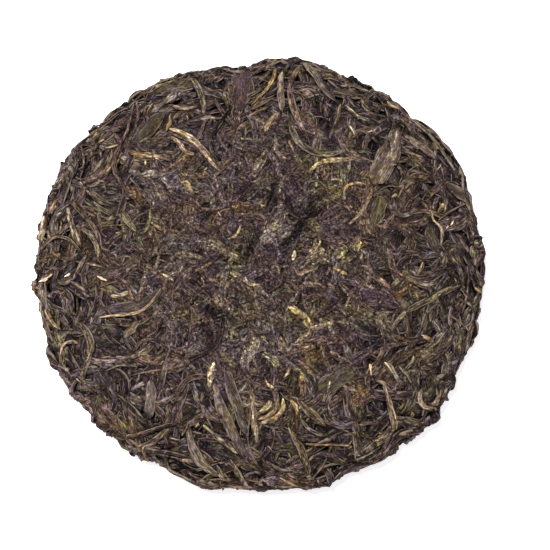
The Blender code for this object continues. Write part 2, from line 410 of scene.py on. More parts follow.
def leafSurface(leaf):  # the map places of the leaf's top, and how high it rises over what it lies on
    line, along = leafRun(leaf)
    across = np.stack([-along[:, 1], along[:, 0]], axis=1)
    u, v = leaf["grid"]["u"], leaf["grid"]["v"]
    tip = leaf["tips"][0] + (leaf["tips"][1] - leaf["tips"][0]) * (u + 1) / 2
    swell = tip + (1 - tip) * np.sqrt(1 - np.abs(u) ** leafForm["tipPower"])
    a, b, c, d, e, f = leaf["wobblePhases"]
    left = 1 + leaf["wobble"] * waves(u, leafForm["leftWaves"], a, b)
    right = 1 + leaf["wobble"] * waves(u, leafForm["rightWaves"], c, d)
    side = np.where(v[None, :] < 0, left[:, None], right[:, None])
    wide = leaf["halfWidth"] * swell[:, None] * side * v[None, :]
    arch = (1 - np.abs(v) ** leafForm["archPower"]) ** leafForm["archRounding"]
    turn = np.pi * leaf["creases"] * v[None, :] + leaf["twist"] * u[:, None] + leaf["phase"]
    # Sharp ridges and valleys that wander over the leaf
    fold = np.arcsin(leafForm["ridge"] * np.sin(turn)) / leafForm["ridgeSpan"]
    thinEnd = leafForm["tipThickness"]
    thick = leaf["thick"] * (thinEnd + (1 - thinEnd) * np.sqrt(1 - np.abs(u) ** leafForm["tipThinning"]))
    (large, largePace), (small, smallPace) = leafForm["lumps"]
    lumps = 1 + large * np.sin(largePace * u + e) + small * np.sin(smallPace * u + f)
    rise = (thick * lumps)[:, None] * arch[None, :] * (1 - leaf["creaseDepth"] * (0.5 - 0.5 * fold))
    x = line[:, 0][:, None] + across[:, 0][:, None] * wide
    y = line[:, 1][:, None] + across[:, 1][:, None] * wide
    return x, y, rise, wide


# How a leaf lies on the pile, in millimetres and shares
bedding = {
    "bridge": np.array([1.0, 2.0, 3.0, 2.0, 1.0]) / 9,  # it bridges short hollows along its length
    "limp": 0.35,  # and follows this much of the pile across its width
    "wideLeaf": 2.8,  # from this half width on it is read more finely
    "cover": 0.12,  # what lies this far over a leaf hides it
    "leastShown": 0.02,
}


def fineGrid(leaf):
    grid = leaf["grid"]
    wide = grid["fineAcross"][int(leaf["halfWidth"] > bedding["wideLeaf"])]
    return [(grid["fineAlong"] @ leaf[name] @ wide).ravel() for name in ("px", "py", "top")]


def layLeaf(leaf, press):  # lays a leaf on the pile and raises the pile by it
    x, y, rise, wide = leafSurface(leaf)
    under = readMap("pile", leaf["side"], x, y)
    padded = np.pad(under, ((2, 2), (0, 0)), mode="edge")
    smooth = sum(w * padded[i : i + len(under)] for i, w in enumerate(bedding["bridge"]))
    middle = smooth.mean(axis=1, keepdims=True)
    slope = smooth[:, -2:].mean(axis=1) - smooth[:, :2].mean(axis=1)
    lean = slope[:, None] * leaf["grid"]["v"][None, :] / 2
    bed = press * (bedding["limp"] * smooth + (1 - bedding["limp"]) * (middle + lean))
    tuck = leaf["tuck"] * leaf["thick"] * np.abs(leaf["grid"]["u"]) ** leafForm["tuckPower"]
    bed = np.maximum(bed - tuck[:, None], 0)
    leaf.update(px=x, py=y, wide=wide, top=bed + rise)
    fx, fy, top = fineGrid(leaf)
    pressInto(leaf["side"], fx, fy, top)
    return leaf


# How leaves are strewn
scatter = {
    "outward": 1.2,
    "aside": 1.5,
    "rim": 15,  # from the end of a map back to the rim
    "turnFrom": 0.72,  # nearer to the rim than this share they turn to lie round it
    "turnOver": 0.28,
    "hold": 0.8,
    "loose": 0.35,
    "bareRim": 0.85,  # the share of shreds that the rim goes without
}


def spiral(count, reach, start):  # even places over a disc, shuffled and a little uneven
    index = np.arange(count)
    away = reach * np.sqrt((index + 0.5) / count) + draw.normal(0, scatter["outward"], count)
    angle = index * math.pi * (3 - math.sqrt(5)) + start
    places = np.stack([away * np.cos(angle), away * np.sin(angle)], axis=1)
    return draw.permutation(places + draw.normal(0, scatter["aside"], (count, 2)))


def headingAt(side, x, y):  # leaves near the rim tend to lie round it
    rim = maps[side]["reach"] - scatter["rim"]
    turned = (math.hypot(x, y) - rim * scatter["turnFrom"]) / (rim * scatter["turnOver"])
    hold = min(max(turned, 0), 1)
    spread = math.pi / 2 * (1 - scatter["hold"] * hold * (1 - scatter["loose"]))
    return math.atan2(y, x) + math.pi / 2 + draw.uniform(-spread, spread)


# Leaves that follow the edge of the cake: how many, their sizes, and how far past the widest line they lie
rimStrips = {
    "count": 210, "thick": 1.0, "loose": 0.12,
    "length": (20, 46), "halfWidth": (0.8, 1.7), "place": (-9.0, 13.0),
}
rimStubs = {
    "count": 76, "thick": 1.7, "loose": 0.45,
    "length": (9, 20), "halfWidth": (1.6, 3.0), "place": (-5.0, 7.0),
}
rimChips = {
    "count": 190, "thick": 1.1, "loose": 1.0,
    "length": (4, 9), "halfWidth": (0.8, 1.9), "place": (-3.5, 4.5),
}
rimLeaves = {
    "kinds": {"twist": 0.55, "brown": 0.35, "olive": 0.10},
    "unevenPlace": 0.02,
    "unevenBend": 0.2,
    "thick": (0.55, 1.35),
    "press": 0.8,
}

# How the pile is laid, layer by layer: how many leaves on each map, how hard they are pressed, how large
# they are at the crown and how much larger at the rim, the share of each kind, and what goes round the rim
deepShares = {"twist": 2, "brown": 2.5, "olive": 0.8, "blade": 4.5}
mainShares = {"twist": 5, "brown": 4, "olive": 2.0, "blade": 3.4}
topShares = {"twist": 2.8, "brown": 2.4, "olive": 1.2, "blade": 1.0, "bud": 1.2, "stem": 1.0}
growing, strips = (0.82, 0.56), (rimStrips, rimStubs)
layers = (
    {"face": 800, "base": 560, "press": 0.6, "size": (1.1, 0.0), "shares": deepShares, "rim": ()},
    {"face": 700, "base": 540, "press": 0.80, "size": growing, "shares": mainShares, "rim": strips},
    {"face": 240, "base": 170, "press": 0.85, "size": growing, "shares": topShares, "rim": (rimChips,)},
    {"face": 2300, "base": 900, "press": 0.97, "size": growing, "shares": {"shred": 1}, "rim": ()},
)


def layPile():
    laid = []
    for depth, layer in enumerate(layers):
        names = list(layer["shares"])
        shares = np.array(list(layer["shares"].values()), float)
        order = []
        for side in ("face", "base"):
            kinds = draw.choice(names, layer[side], p=shares / shares.sum())
            places = spiral(layer[side], maps[side]["reach"], start=depth)
            order += [(side, str(k), x, y) for k, (x, y) in zip(kinds, places)]
        size, growth = layer["size"]
        for index in draw.permutation(len(order)):
            side, kind, x, y = order[index]
            outward = min(math.hypot(x, y) / maps[side]["reach"], 1)
            if kind == "shred" and draw.uniform() < scatter["bareRim"] * outward**2:
                continue
            leaf = newLeaf(kind, side, x, y, headingAt(side, x, y), size + growth * outward**2)
            leaf["tint"] *= leafKinds[kind].get("light", 1.0)
            laid.append(layLeaf(leaf, layer["press"]))
        for kind in layer["rim"]:
            laid += layRim(kind)
    return laid + layByHand()


def layRim(strips):
    laid = []
    kinds = rimLeaves["kinds"]
    for index in range(strips["count"]):
        angle = 2 * math.pi * index / strips["count"] + draw.normal() * rimLeaves["unevenPlace"]
        away = skin["rimS"] + between(strips["place"])
        x, y = away * math.cos(angle), away * math.sin(angle)
        kind = str(draw.choice(list(kinds), p=list(kinds.values())))
        leaf = newLeaf(kind, "face", x, y, angle + math.pi / 2 + draw.normal() * strips["loose"])
        leaf["length"], leaf["halfWidth"] = between(strips["length"]), between(strips["halfWidth"])
        leaf["bend"] = leaf["length"] / away + draw.normal() * rimLeaves["unevenBend"]
        least, more = rimLeaves["thick"]
        leaf["thick"] *= strips["thick"] * (least + more * chanceOf(leaf, 3.1) ** 2)
        laid.append(layLeaf(leaf, rimLeaves["press"]))
    return laid


# Leaves that stand out in the photograph, bottom ones first: kind, tint, width and middle line in its pixels
handLaid = (
    # upper left
    ("blade", "plum", 22, (242, 68), (243, 90), (240, 112)),
    ("blade", "moss", 17, (164, 112), (149, 128), (132, 144)),
    ("olive", "olive", 4, (162, 121), (152, 136), (138, 144)),
    ("brown", "bark", 9, (145, 92), (160, 83), (178, 76)),
    ("twist", "umber", 7, (99, 121), (118, 104), (144, 90)),
    ("twist", "slate", 5, (106, 124), (124, 108), (146, 98)),
    ("brown", "ash", 8, (191, 77), (199, 88), (204, 102), (203, 114)),
    ("stem", "bark", 5, (134, 103), (127, 135), (118, 147), (113, 167), (120, 182), (128, 194)),
    ("bud", "ash", 5, (137, 100), (139, 113), (135, 129)),
    ("twist", "soot", 6, (231, 108), (216, 129), (210, 141), (212, 153), (221, 161)),
    ("olive", "olive", 8, (225, 91), (228, 107)),
    ("bud", "tan", 8, (128, 150), (140, 155), (152, 156), (164, 158)),
    ("bud", "cream", 4, (106, 148), (118, 145)),
    ("brown", "fawn", 6, (172, 107), (184, 109), (197, 107)),
    ("brown", "fawn", 6, (200, 119), (211, 117), (223, 118)),
    ("brown", "tan", 8, (167, 128), (183, 133), (197, 142), (207, 155), (220, 171)),
    ("bud", "tan", 6, (171, 136), (180, 144), (184, 152), (194, 154)),
    ("bud", "cream", 5, (171, 113), (170, 124), (166, 132)),
    ("bud", "tan", 6, (179, 179), (187, 184), (192, 193)),
    ("bud", "cream", 3, (207, 167), (203, 176)),
    ("bud", "cream", 3, (204, 70), (209, 68), (216, 70)),
    ("bud", "cream", 2, (241, 138), (245, 140)),
    ("blade", "amber", 13, (127, 186), (136, 195), (142, 205)),
    # top
    ("brown", "ash", 9, (282, 72), (280, 91), (282, 111)),
    ("twist", "bark", 8, (300, 65), (290, 82), (290, 100), (299, 124), (310, 143)),
    ("twist", "slate", 9, (303, 62), (316, 76), (325, 93), (337, 101)),
    ("olive", "moss", 8, (288, 111), (294, 138), (306, 150), (323, 156), (341, 152), (360, 143)),
    ("bud", "gold", 6, (276, 66), (274, 77), (267, 89), (251, 105)),
    ("bud", "rose", 5, (275, 97), (264, 102), (251, 109)),
    ("brown", "rose", 5, (271, 106), (260, 110), (248, 117)),
    ("stem", "amber", 5, (299, 111), (309, 121), (319, 132)),
    ("stem", "olive", 5, (341, 104), (337, 120), (330, 138)),
    ("bud", "tan", 6, (309, 172), (318, 163), (329, 160), (342, 160), (360, 158)),
    ("bud", "tan", 7, (280, 112), (268, 123), (265, 132)),
    ("stem", "rose", 3, (289, 140), (295, 154)),
    ("bud", "fawn", 4, (294, 89), (304, 98)),
    ("olive", "sage", 6, (349, 126), (355, 135)),
    # upper right
    ("blade", "moss", 15, (383, 193), (378, 210), (374, 227)),
    ("brown", "ash", 10, (405, 133), (420, 145), (438, 162)),
    ("twist", "bark", 4, (410, 116), (438, 141), (464, 178)),
    ("twist", "slate", 4, (420, 116), (446, 141), (469, 178)),
    ("olive", "moss", 4, (402, 112), (430, 136), (458, 176)),
    ("brown", "ash", 23, (397, 128), (394, 144), (386, 162), (373, 184)),
    ("brown", "ash", 12, (447, 183), (457, 192), (468, 204)),
    ("bud", "fawn", 5, (373, 187), (368, 202), (360, 215), (349, 224)),
    ("bud", "cream", 6, (387, 102), (394, 107), (402, 110)),
    ("olive", "olive", 7, (344, 105), (357, 117), (371, 120)),
    ("bud", "gold", 4, (344, 193), (346, 186), (354, 183), (366, 184)),
    ("bud", "cream", 3, (437, 170), (442, 163)),
    ("olive", "sage", 8, (446, 197), (443, 213)),
    ("bud", "gold", 6, (443, 204), (439, 212)),
    ("brown", "ash", 4, (439, 220), (451, 211), (465, 204)),
    ("stem", "rose", 3, (399, 197), (404, 186)),
    # right
    ("olive", "moss", 13, (429, 226), (432, 240), (438, 254)),
    ("olive", "olive", 8, (462, 285), (446, 290), (433, 298), (412, 308), (400, 318), (390, 335)),
    ("brown", "amber", 10, (413, 284), (403, 292), (391, 299)),
    ("bud", "cream", 4, (430, 210), (433, 220), (441, 227), (443, 236), (441, 246)),
    ("bud", "cream", 3, (445, 231), (448, 226)),
    ("bud", "cream", 3, (450, 226), (453, 221)),
    ("bud", "ash", 3, (416, 242), (415, 250)),
    ("bud", "tan", 5, (423, 262), (422, 268), (418, 275)),
    ("brown", "rose", 5, (389, 268), (403, 276), (418, 285)),
    ("bud", "tan", 4, (449, 314), (460, 322), (469, 331)),
    ("bud", "rose", 6, (422, 335), (434, 342)),
    ("brown", "ash", 8, (384, 362), (393, 372), (401, 384)),
    ("brown", "olive", 5, (399, 366), (407, 374), (412, 384)),
    ("bud", "sage", 5, (414, 356), (412, 363), (404, 371)),
    ("olive", "sage", 6, (421, 368), (434, 366)),
    ("bud", "tan", 6, (423, 387), (418, 400), (426, 410), (436, 404), (442, 388)),
    ("bud", "tan", 5, (475, 287), (479, 294), (480, 303)),
    # middle
    ("blade", "ash", 20, (259, 243), (274, 233), (292, 221)),
    ("brown", "tan", 8, (357, 236), (358, 245), (356, 252)),
    ("bud", "rose", 6, (379, 278), (385, 283), (390, 288)),
    ("bud", "sage", 8, (306, 261), (314, 254), (326, 252)),
    ("brown", "fawn", 10, (307, 259), (315, 252), (325, 250)),
    ("brown", "olive", 8, (312, 264), (319, 259), (327, 263)),
    ("brown", "ash", 10, (334, 259), (340, 252), (348, 248)),
    ("brown", "ash", 6, (338, 264), (346, 260), (355, 256)),
    ("bud", "cream", 4, (295, 250), (293, 261)),
    ("bud", "tan", 4, (293, 267), (299, 274), (307, 271), (317, 268)),
    ("stem", "tan", 3, (300, 269), (312, 259), (321, 245)),
    ("stem", "gold", 4, (333, 267), (347, 274)),
    ("bud", "tan", 4, (327, 283), (338, 291)),
    ("brown", "rose", 4, (346, 306), (354, 288)),
    ("brown", "amber", 13, (232, 206), (242, 207), (253, 208)),
    ("stem", "tan", 3, (241, 226), (236, 236), (226, 240)),
    ("stem", "ash", 4, (203, 238), (216, 242), (226, 251), (234, 260)),
    ("stem", "tan", 3, (212, 262), (204, 268), (195, 271)),
    ("bud", "fawn", 5, (220, 278), (230, 288)),
    ("bud", "tan", 4, (245, 276), (247, 282), (252, 285), (263, 284)),
    ("stem", "tan", 3, (270, 262), (276, 264), (279, 269), (279, 276)),
    ("olive", "olive", 4, (229, 304), (236, 309), (243, 318)),
    ("bud", "tan", 8, (288, 306), (305, 317), (313, 330)),
    ("bud", "fawn", 6, (309, 328), (321, 327), (334, 322)),
    ("bud", "tan", 4, (311, 330), (304, 337), (295, 343)),
    ("stem", "ash", 3, (284, 327), (293, 324), (302, 325)),
    # left
    ("brown", "ash", 8, (67, 206), (70, 221), (79, 246)),
    ("twist", "ash", 4, (84, 148), (84, 166), (77, 181), (69, 203)),
    ("twist", "slate", 4, (77, 152), (77, 168), (70, 184), (63, 204)),
    ("brown", "bark", 7, (70, 200), (85, 216), (97, 231), (101, 258)),
    ("olive", "sage", 6, (76, 226), (90, 233), (97, 245), (98, 260)),
    ("bud", "tan", 7, (56, 200), (53, 207), (50, 214)),
    ("brown", "fawn", 8, (46, 216), (43, 230), (41, 246)),
    ("bud", "gold", 3, (62, 220), (60, 231)),
    ("brown", "bark", 5, (41, 252), (50, 240), (60, 235), (71, 240), (85, 258)),
    ("brown", "ash", 6, (86, 256), (80, 266), (74, 280)),
    ("olive", "olive", 5, (57, 277), (60, 283), (66, 284), (74, 279)),
    ("bud", "cream", 5, (39, 282), (45, 279), (52, 273)),
    ("bud", "cream", 4, (64, 277), (70, 273)),
    ("bud", "cream", 4, (97, 276), (107, 281)),
    ("bud", "fawn", 4, (85, 263), (103, 267)),
    ("olive", "fawn", 4, (70, 280), (86, 291)),
    ("olive", "moss", 8, (122, 211), (128, 221), (136, 231)),
    ("olive", "moss", 8, (137, 233), (145, 230), (150, 210)),
    ("olive", "olive", 8, (86, 190), (99, 199), (113, 207)),
    ("olive", "moss", 8, (84, 198), (97, 207), (111, 214)),
    ("stem", "bark", 5, (116, 149), (113, 170), (120, 181), (126, 190), (121, 205)),
    ("stem", "fawn", 2, (102, 226), (127, 225)),
    ("bud", "sage", 4, (155, 247), (159, 255), (156, 270)),
    ("bud", "cream", 3, (163, 274), (174, 281)),
    ("bud", "cream", 3, (81, 182), (84, 186)),
    # lower left
    ("blade", "slate", 13, (94, 316), (110, 310), (124, 308), (140, 307), (150, 302), (161, 286)),
    ("olive", "gold", 4, (98, 318), (118, 315), (137, 314), (146, 309), (155, 299), (161, 288)),
    ("brown", "ash", 9, (122, 337), (131, 330), (139, 321)),
    ("olive", "olive", 8, (70, 316), (84, 327), (93, 341), (90, 357), (82, 372), (82, 390)),
    ("bud", "fawn", 6, (110, 295), (119, 296), (129, 292)),
    ("bud", "tan", 5, (47, 309), (51, 320), (61, 330)),
    ("brown", "rose", 5, (61, 355), (64, 344), (70, 341), (77, 343)),
    ("olive", "olive", 5, (104, 371), (119, 364), (138, 366)),
    ("brown", "ash", 12, (150, 380), (151, 400), (149, 419)),
    ("brown", "ash", 7, (131, 391), (136, 387), (144, 383)),
    ("olive", "moss", 7, (118, 395), (133, 410), (148, 425)),
    ("twist", "umber", 7, (116, 438), (140, 435), (158, 428), (180, 424)),
    ("brown", "tan", 6, (214, 361), (210, 374), (210, 392)),
    ("brown", "slate", 12, (226, 371), (237, 404), (246, 435)),
    ("brown", "ash", 12, (214, 384), (222, 408), (233, 434), (244, 458)),
    ("olive", "olive", 6, (218, 357), (228, 361), (238, 367)),
    ("brown", "bark", 7, (241, 368), (248, 378), (254, 390)),
    ("brown", "fawn", 7, (251, 390), (254, 415), (257, 445)),
    ("brown", "fawn", 6, (271, 400), (267, 408), (257, 415)),
    ("bud", "tan", 5, (278, 399), (275, 411), (267, 417), (258, 420)),
    ("brown", "tan", 6, (283, 398), (283, 410), (274, 420), (259, 424)),
    ("olive", "ash", 11, (188, 425), (191, 444), (200, 463), (219, 477)),
    ("brown", "ash", 6, (203, 425), (222, 441), (238, 454)),
    ("brown", "ash", 6, (229, 460), (238, 473), (249, 487)),
    ("olive", "moss", 6, (166, 451), (168, 468), (181, 478), (211, 483)),
    ("bud", "tan", 5, (144, 446), (145, 454), (150, 461)),
    ("bud", "gold", 4, (81, 399), (87, 402)),
    ("brown", "olive", 6, (171, 402), (178, 399), (184, 396)),
    ("bud", "tan", 3, (188, 423), (186, 430), (181, 436)),
    ("bud", "fawn", 3, (170, 438), (180, 440)),
    # lower right
    ("blade", "moss", 22, (319, 391), (334, 381), (352, 367)),
    ("blade", "amber", 16, (352, 404), (361, 398), (370, 391)),
    ("brown", "amber", 8, (301, 375), (304, 397)),
    ("brown", "bark", 7, (330, 351), (339, 358), (349, 363)),
    ("bud", "cream", 2, (330, 381), (327, 393)),
    ("bud", "cream", 3, (265, 379), (268, 385), (274, 388)),
    ("brown", "sage", 8, (262, 353), (271, 358), (280, 367)),
    ("bud", "cream", 3, (370, 363), (371, 376)),
    ("bud", "fawn", 5, (383, 381), (388, 398), (390, 413), (394, 431)),
    ("bud", "tan", 4, (389, 393), (392, 405), (396, 417), (397, 430)),
    ("brown", "ash", 8, (297, 400), (311, 413), (326, 427)),
    ("bud", "tan", 5, (290, 399), (296, 406), (297, 415)),
    ("twist", "slate", 5, (300, 417), (309, 430), (322, 436), (336, 430)),
    ("brown", "olive", 8, (288, 427), (301, 447), (310, 476)),
    ("stem", "tan", 3, (306, 444), (330, 445), (351, 446)),
    ("olive", "bark", 6, (359, 425), (372, 421), (386, 424)),
    ("bud", "sage", 3, (354, 461), (371, 453), (386, 443)),
)
handRules = {
    "cakeWidth": 451,  # in the photograph's pixels
    "press": 0.92,
    "light": (0.98, 1.15),
    "thickest": (0.5, 0.7),  # millimetres, and shares of the half width
    "crumbled": 1.0,  # what an amber leaf gets, as in the middle of the cake
    "smooth": -0.5,  # what a wide leaf gets, from this width in pixels and this far from the crown
    "smoothWidth": 9,
    "smoothFrom": 45,
    "softening": 14,
}


def walked(line):  # how far along a line each of its places is
    return np.concatenate([[0], np.cumsum(np.hypot(*np.diff(line, axis=0).T))])


def curveThrough(pixels, count):  # an even, softened run of map places along a given line
    spots = np.array(pixels, float)
    points = np.stack(photoToMap(spots[:, 0], spots[:, 1]), axis=1)
    fine, soft = 8 * count, handRules["softening"]
    along = walked(points)
    dense = np.stack([np.interp(np.linspace(0, along[-1], fine), along, p) for p in points.T], axis=1)
    steps = np.clip(np.arange(fine)[:, None] + np.arange(-soft, soft + 1)[None, :], 0, fine - 1)
    hold = np.minimum(np.minimum(np.arange(fine), np.arange(fine)[::-1]) / soft, 1)[:, None]
    softened = dense[steps].mean(axis=1) * hold + dense * (1 - hold)
    return points[0], softened[np.linspace(0, fine - 1, count).round().astype(int)]


def layByHand():
    laid = []
    pixel = 2 * cakeForm["radius"] / handRules["cakeWidth"]
    for kindName, tintName, wide, *pixels in handLaid:
        start, run = curveThrough(pixels, len(grids["leaf"]["u"]))
        leaf = newLeaf(kindName, "face", *start.tolist(), 0.0)
        leaf["run"] = run
        leaf["halfWidth"] = 0.5 * wide * pixel
        least, share = handRules["thickest"]
        leaf["thick"] = min(leaf["thick"], least + share * leaf["halfWidth"])
        leaf["tuck"] = 0.0
        if tintName == "amber":
            leaf["crushed"] = handRules["crumbled"]
        elif wide >= handRules["smoothWidth"] and math.hypot(*start) > handRules["smoothFrom"]:
            leaf["crushed"] = handRules["smooth"]
        leaf["tint"] = linear(tints[tintName]) * between(handRules["light"])
        laid.append(layLeaf(leaf, handRules["press"]))
    return laid


allLeaves = layPile()
print("leaves laid", len(allLeaves), "pile height", round(float(maps["face"]["pile"].mean()), 2))


def soften(field, width):  # a Gaussian blur, in cells
    wave = np.exp(-2 * (np.pi * np.fft.fftfreq(len(field)) * width) ** 2)
    return np.real(np.fft.ifft2(np.fft.fft2(field) * wave[:, None] * wave[None, :]))


# Dark gaps in the photograph: width and depth in millimetres, and middle line in its pixels
furrows = (
    (4, 3.4, (318, 195), (308, 214), (299, 230), (282, 251)),
    (4, 2.0, (260, 228), (252, 244), (245, 261)),
    (4, 3.4, (276, 181), (274, 196), (269, 213)),
    (6, 2.4, (206, 308), (220, 314), (234, 320)),
    (6, 2.6, (378, 115), (385, 120)),
    (3, 1.8, (143, 204), (145, 218), (141, 232)),
    (3, 1.6, (67, 204), (77, 186), (80, 168), (76, 152)),
    (4, 1.8, (110, 104), (126, 97), (132, 118)),
    (3, 1.6, (121, 166), (128, 170), (138, 180), (148, 191)),
    (3, 1.8, (86, 262), (79, 256), (82, 246)),
    (4, 1.8, (196, 372), (205, 392), (208, 412)),
    (4, 1.8, (262, 432), (266, 452), (272, 470)),
    (4, 1.8, (355, 320), (372, 330), (380, 345)),
    (4, 1.8, (418, 180), (424, 196), (420, 208)),
    (3, 1.8, (322, 108), (330, 120), (328, 134)),
    (4, 2.4, (120, 326), (121, 337), (123, 347)),
    (6, 2.4, (203, 444), (208, 450), (213, 456)),
    (5, 2.0, (171, 458), (180, 467), (192, 471)),
    (5, 2.2, (383, 137), (376, 146), (371, 158)),
)
furrowShape = {"steps": 40, "taper": 0.25, "spread": 0.35}


def furrowMap():
    axis = mapAxis(maps["face"])
    depth = np.zeros_like(maps["face"]["pile"])
    taper = np.linspace(furrowShape["taper"], math.pi - furrowShape["taper"], furrowShape["steps"])
    for wide, deep, *pixels in furrows:
        _, line = curveThrough(pixels, furrowShape["steps"])
        spread = furrowShape["spread"] * wide
        for share, (x, y) in zip(np.sin(taper), line):
            gap = ((axis[None, :] - x) ** 2 + (axis[:, None] - y) ** 2) / spread**2
            depth = np.maximum(depth, deep * share * np.exp(-gap))
    return depth


# What the press leaves of the pile: lengths in millimetres, and shares of its relief
pressing = {
    "evenOver": 6.0,
    "evenPast": 2,  # how far past a map's reach the pile counts
    "leastCount": 0.05,
    "nearBy": 0.8,
    "middleRelief": 0.50,
    "rimRelief": 1.45,
    "rimFrom": 0.45,  # shares of the way to the end of a map
    "rimOver": 0.35,
    "stand": 0.1,
    "crest": 2.6,
}

# Whole patches of the pile are bluer or yellower, and so are dark and pale leaves and points in painted
# shade
hueTurns = {
    "byLight": (0.0, 0.0, -0.20),
    "byPatch": (0.0, 0.0, -0.14),
    "evenLight": 0.065,
    "lightRange": (0.06, 2),
    "patchRange": (-0.9, 2.2),
    "patches": ((1.8, 0.7), (5.0, 0.7)),  # how wide in millimetres, and how strong
    "seeds": {"face": 8, "base": 9},
}


def pressFlat(chart):  # the press evens the pile out: what is left is how far a leaf stands from it
    axis = mapAxis(chart)
    inside = np.hypot(axis[None, :], axis[:, None]) < chart["reach"] + pressing["evenPast"]
    width = pressing["evenOver"] / chart["cell"]
    count = np.maximum(soften(inside.astype(float), width), pressing["leastCount"])
    chart["even"] = soften(chart["pile"] * inside, width) / count
    chart["near"] = soften(chart["pile"], pressing["nearBy"] / chart["cell"])


def patchMap(chart, seed):
    chance = np.random.default_rng(seed)
    field = np.zeros_like(chart["pile"])
    for wide, strong in hueTurns["patches"]:
        patch = soften(chance.normal(size=field.shape), wide / chart["cell"])
        field += strong * patch / patch.std()
    return field


for side, chart in maps.items():
    pressFlat(chart)
    chart["furrow"] = furrowMap() if side == "face" else np.zeros_like(chart["pile"])
    chart["patch"] = patchMap(chart, hueTurns["seeds"][side])
print("pile pressed")


def pressed(side, x, y, high):
    away = np.hypot(x, y) / maps[side]["reach"]
    share = np.clip((away - pressing["rimFrom"]) / pressing["rimOver"], 0, 1)
    relief = pressing["middleRelief"] + (pressing["rimRelief"] - pressing["middleRelief"]) * share
    stand = (high - readMap("even", side, x, y)) * relief + pressing["stand"]
    crest = pressing["crest"]
    return np.where(stand > 0, crest * np.tanh(stand / crest), stand) - readMap("furrow", side, x, y)


def turnHue(colour, patch):
    # the brightness read here holds the painted shade, so painted shade turns bluer too
    bright = np.clip(colour.mean(axis=1, keepdims=True) / hueTurns["evenLight"], *hueTurns["lightRange"])
    patch = np.clip(patch, *hueTurns["patchRange"])
    return colour * bright ** np.array(hueTurns["byLight"]) * (1 + patch * np.array(hueTurns["byPatch"]))


def showing(leaf):  # the share of a leaf's top that nothing covers
    x, y, top = fineGrid(leaf)
    return float((top > readMap("pile", leaf["side"], x, y) - bedding["cover"]).mean())


class Wire:  # a shader socket that can stand in sums
    def __init__(self, finish, socket):
        self.finish, self.socket = finish, socket

    def maths(self, operation, first, second):
        return self.finish.node("ShaderNodeMath", {"operation": operation}, [first, second])

    def __add__(self, other):
        return self.maths("ADD", self, other)

    def __sub__(self, other):
        return self.maths("SUBTRACT", self, other)

    def __rsub__(self, other):
        return self.maths("SUBTRACT", other, self)

    def __mul__(self, other):
        return self.maths("MULTIPLY", self, other)

    def __pow__(self, other):
        return self.maths("POWER", self, other)

    __radd__, __rmul__ = __add__, __mul__


class Finish:  # one material, node by node
    def __init__(self, name):
        self.material = bpy.data.materials.new(name)
        self.material.use_nodes = True
        self.tree = self.material.node_tree
        self.shader = self.tree.nodes["Principled BSDF"]

    def node(self, kind, settings=None, inputs=(), output=0):
        made = self.tree.nodes.new(kind)
        for key, value in (settings or {}).items():
            if key == "stops":
                for stop, (place, colour) in zip(self.stopsOf(made, len(value)), value):
                    stop.position, stop.color = place, colour
            else:
                setattr(made, key, value)
        for key, value in inputs.items() if isinstance(inputs, dict) else enumerate(inputs):
            if isinstance(value, Wire):
                self.tree.links.new(value.socket, made.inputs[key])
            else:
                made.inputs[key].default_value = value
        return Wire(self, made.outputs[output])

    def stopsOf(self, ramp, count):
        while len(ramp.color_ramp.elements) < count:
            ramp.color_ramp.elements.new(0.5)
        return ramp.color_ramp.elements

    def attribute(self, name, output):
        return self.node("ShaderNodeAttribute", {"attribute_name": name}, output=output)

    def scaled(self, vector, scale):
        return self.node("ShaderNodeVectorMath", {"operation": "MULTIPLY"}, [vector, scale])

    def noise(self, vector, scale, detail, roughness):
        inputs = {"Vector": vector, "Scale": scale, "Detail": detail, "Roughness": roughness}
        return self.node("ShaderNodeTexNoise", None, inputs)

    def spread(self, value, low, high, bottom=0.0, top=1.0):
        inputs = [value, low, high, bottom, top]
        return self.node("ShaderNodeMapRange", {"interpolation_type": "SMOOTHSTEP"}, inputs)

    def blend(self, share, low, high, how="MIX"):
        settings = {"data_type": "RGBA", "blend_type": how, "clamp_factor": True}
        return self.node("ShaderNodeMix", settings, {0: share, 6: low, 7: high}, output=2)

    def colour(self, red, green, blue):
        return self.node("ShaderNodeCombineColor", None, [red, green, blue])

    def bump(self, height, strength, distance):
        inputs = {"Strength": strength, "Distance": distance, "Height": height}
        self.feed("Normal", self.node("ShaderNodeBump", None, inputs))

    def feed(self, name, wire):
        self.tree.links.new(wire.socket, self.shader.inputs[name])

    def fix(self, values):
        for name, value in values.items():
            self.shader.inputs[name].default_value = value


# How dark and how light each pattern makes a leaf, and how far the others show
leafFinish = {
    "streak": (0.39, 1.60),
    "fibre": (0.29, 1.84),
    "blotch": (0.48, 1.60),
    "crumb": (0.35, 1.80),
    "grit": (0.25, 1.92),  # these two in the middle of the cake only
    "patch": (0.80, 1.24),
    "green": 0.84,
    "plum": 0.80,
    "rim": 0.06,  # painted shade: the dark line round a leaf
    "worn": 0.80,  # and the painted highlight beside it
    "fleck": 0.60,
    "fade": 0.55,  # how much darker a leaf may grow towards one end
    "bump": (1.0, 0.0011),  # strength, and depth in metres
    "roughness": (0.50, 0.80),
}
leafHues = {
    "plain": (1, 1, 1, 1),
    "green": (1.0, 1.04, 0.48, 1),
    "plum": (0.91, 0.89, 1.26, 1),
    # the colour of the painted highlight beside a leaf's edge
    "worn": (0.22, 0.175, 0.135, 1),
    "fleck": (0.25, 0.20, 0.15, 1),
}
# How tight each pattern is across and along the leaf and from leaf to leaf, its detail and its roughness
leafPatterns = {
    "veins": ((0.85, 0.10, 1.0), 3.0, 0.62),
    "fibres": ((2.2, 0.40, 1.0), 3.0, 0.65),
    "blotches": ((0.34, 0.20, 1.0), 4.0, 0.6),
    "hues": ((0.50, 0.32, 2.3), 3.0, 0.6),
    "crumbs": ((0.85, 0.60, 1.0), 4.0, 0.72),
    "flecks": ((1.1, 0.8, 3.1), 3.0, 0.7),
}


